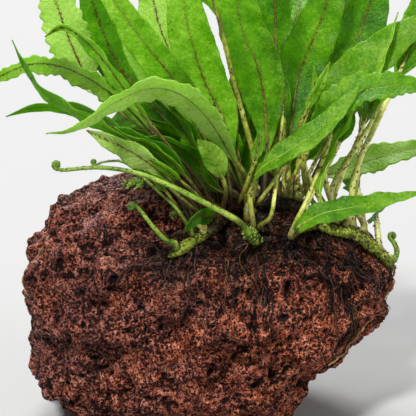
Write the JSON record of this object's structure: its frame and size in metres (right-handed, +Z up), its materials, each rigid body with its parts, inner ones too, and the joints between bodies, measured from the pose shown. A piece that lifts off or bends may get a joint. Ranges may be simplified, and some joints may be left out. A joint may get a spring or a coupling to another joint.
{
  "type": "java fern on lava rock",
  "caption": "Java fern with lance-shaped fronds and coiled croziers growing from creeping rhizomes on a porous lava rock with a flat underside.",
  "frame": {"origin": "on the rock's flat base, below the middle of the rock", "axes": "+Z up out of the base, -Y towards the front that the picture shows, +X to the right as seen from the front"},
  "size_m": [0.1677, 0.1648, 0.1779],
  "materials": {
    "lava_rock": "rough, wet, full of pits",
    "frond": "satin leaf",
    "stem": "satin stalk",
    "rhizome": "matte, scaly",
    "root": "matte"
  },
  "bodies": {
    "root": {"crozier_long": "stem", "crozier_right": "stem", "crozier_short": "stem", "crozier_thin": "stem", "frond_arching_left": "frond", "frond_back_far_right": "frond", "frond_back_left": "frond", "frond_back_low_left": "frond", "frond_back_low_middle": "frond", "frond_back_low_right": "frond", "frond_back_middle": "frond", "frond_back_right": "frond", "frond_back_tall": "frond", "frond_behind_left": "frond", "frond_behind_right": "frond", "frond_bright_diagonal": "frond", "frond_broad_centre": "frond", "frond_broad_left": "frond", "frond_broad_right": "frond", "frond_dark_upper_left": "frond", "frond_diagonal": "frond", "frond_drooping_right": "frond", "frond_edge_on_centre": "frond", "frond_far_right": "frond", "frond_inner_right": "frond", "frond_long_left": "frond", "frond_low_centre": "frond", "frond_low_left": "frond", "frond_narrow_left": "frond", "frond_narrow_right": "frond", "frond_outer_right": "frond", "frond_pale_tall": "frond", "frond_pale_upper_left": "frond", "frond_round_tip": "frond", "frond_side_right": "frond", "frond_slender_left": "frond", "frond_speckled_back": "frond", "frond_sweeping_right": "frond", "frond_tall_stalk": "frond", "frond_thin_right": "frond", "frond_underside_left": "frond", "frond_upper_right": "frond", "frond_wavy_left": "frond", "frond_young_right": "frond", "lava_rock": "lava_rock", "leaf_small_left": "frond", "rhizome_back": "rhizome", "rhizome_centre": "rhizome", "rhizome_front": "rhizome", "rhizome_left": "rhizome", "rhizome_right": "rhizome", "root_front_left": "root", "root_front_middle": "root", "root_front_right": "root", "root_left": "root", "root_lower_right": "root", "root_right": "root", "root_right_loop": "root", "root_top_left": "root", "stalk_cut_left": "stem"}
  },
  "joints": []
}
